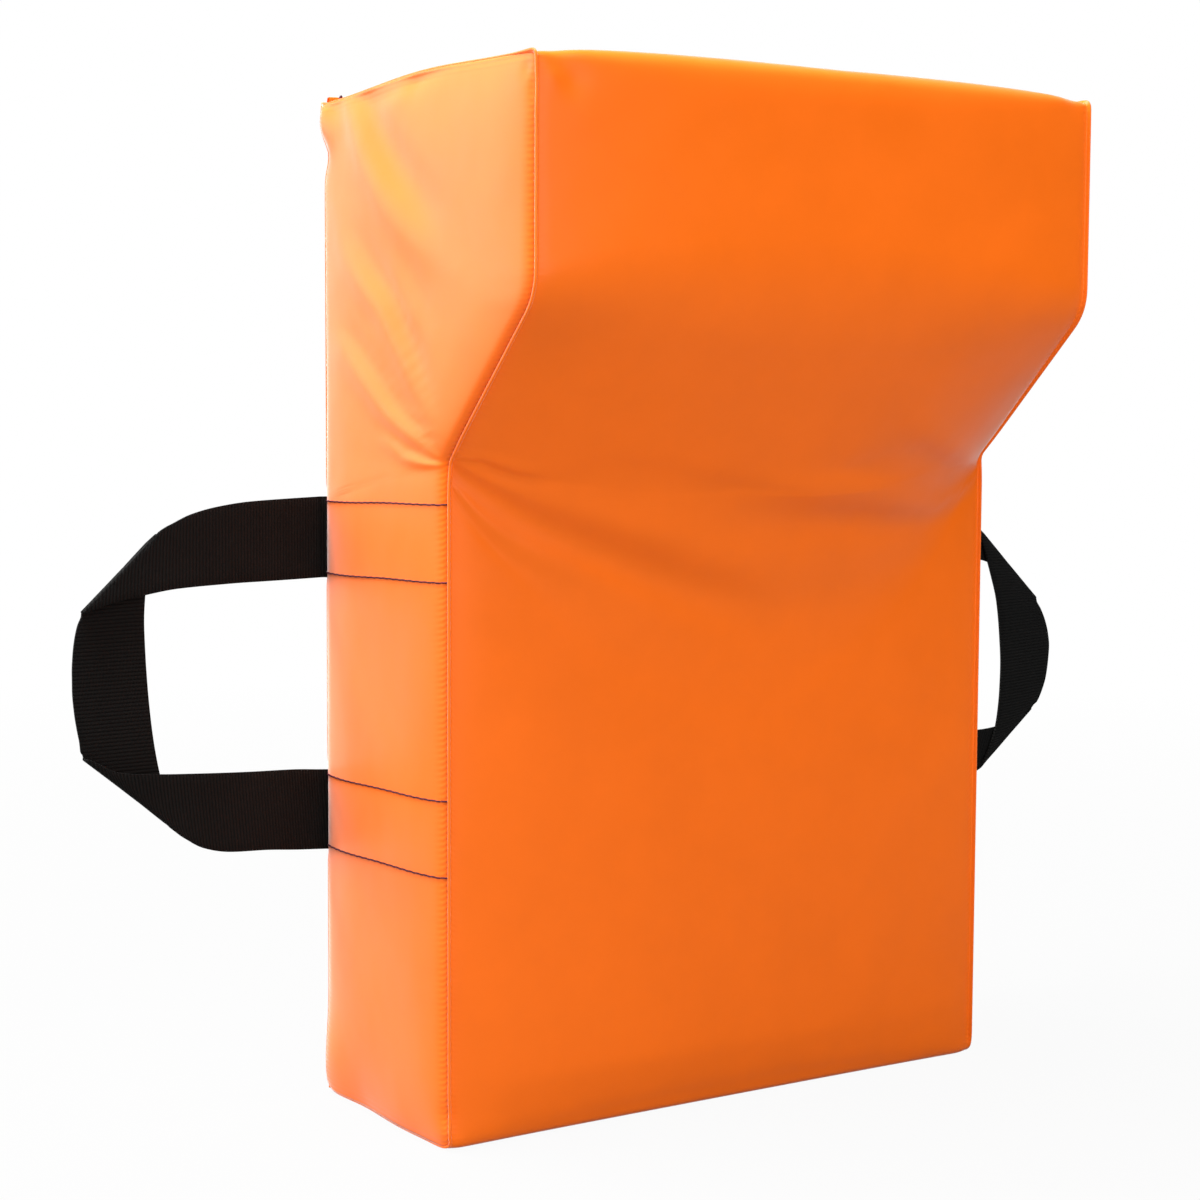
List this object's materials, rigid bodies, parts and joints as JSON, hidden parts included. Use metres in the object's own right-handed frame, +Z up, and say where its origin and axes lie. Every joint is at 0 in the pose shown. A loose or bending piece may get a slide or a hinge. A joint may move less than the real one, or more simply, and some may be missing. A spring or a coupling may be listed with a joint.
{
  "type": "tackle shield",
  "caption": "Upright foam-filled tackle shield with an overhanging head, a sewn vinyl cover and a flat webbing loop handle at each side.",
  "frame": {"origin": "middle of the base, half-way between the two sides and between the back and the lower front", "axes": "+Z up, -Y out of the front, under the overhanging head, +X towards the right side as seen from the front"},
  "size_m": [0.7595, 0.254, 0.6239],
  "materials": {
    "orange_vinyl": "satin vinyl coating on woven cloth, bright orange",
    "grey_foam": "matt open-cell foam, mid grey",
    "black_webbing": "ribbed woven webbing, black",
    "plum_thread": "twisted sewing thread, dark purple-brown"
  },
  "bodies": {
    "pad": {"core_front_plank": "grey_foam", "core_middle_plank": "grey_foam", "core_back_plank": "grey_foam", "head_inner_plank": "grey_foam", "head_outer_plank": "grey_foam", "wrap_panel": "orange_vinyl", "back_panel": "orange_vinyl", "left_side_panel": "orange_vinyl", "right_side_panel": "orange_vinyl", "closing_lip": "orange_vinyl", "closing_stitches": "plum_thread", "left_upper_webbing_tail": "black_webbing", "left_lower_webbing_tail": "black_webbing", "right_upper_webbing_tail": "black_webbing", "right_lower_webbing_tail": "black_webbing", "left_upper_stitching_top": "plum_thread", "left_upper_stitching_bottom": "plum_thread", "left_lower_stitching_top": "plum_thread", "left_lower_stitching_bottom": "plum_thread", "right_upper_stitching_top": "plum_thread", "right_upper_stitching_bottom": "plum_thread", "right_lower_stitching_top": "plum_thread", "right_lower_stitching_bottom": "plum_thread"},
    "left_loop": {"left_handle": "black_webbing"},
    "right_loop": {"right_handle": "black_webbing"}
  },
  "joints": [
    {"name": "left_loop_swing", "type": "hinge", "parent": "pad", "child": "left_loop", "pos_m": [-0.2024, 0.0774, 0.264], "axis": [0, 0, 1], "range_deg": [-185, 60]},
    {"name": "right_loop_swing", "type": "hinge", "parent": "pad", "child": "right_loop", "pos_m": [0.2024, 0.0774, 0.264], "axis": [0, 0, -1], "range_deg": [-185, 60]}
  ]
}
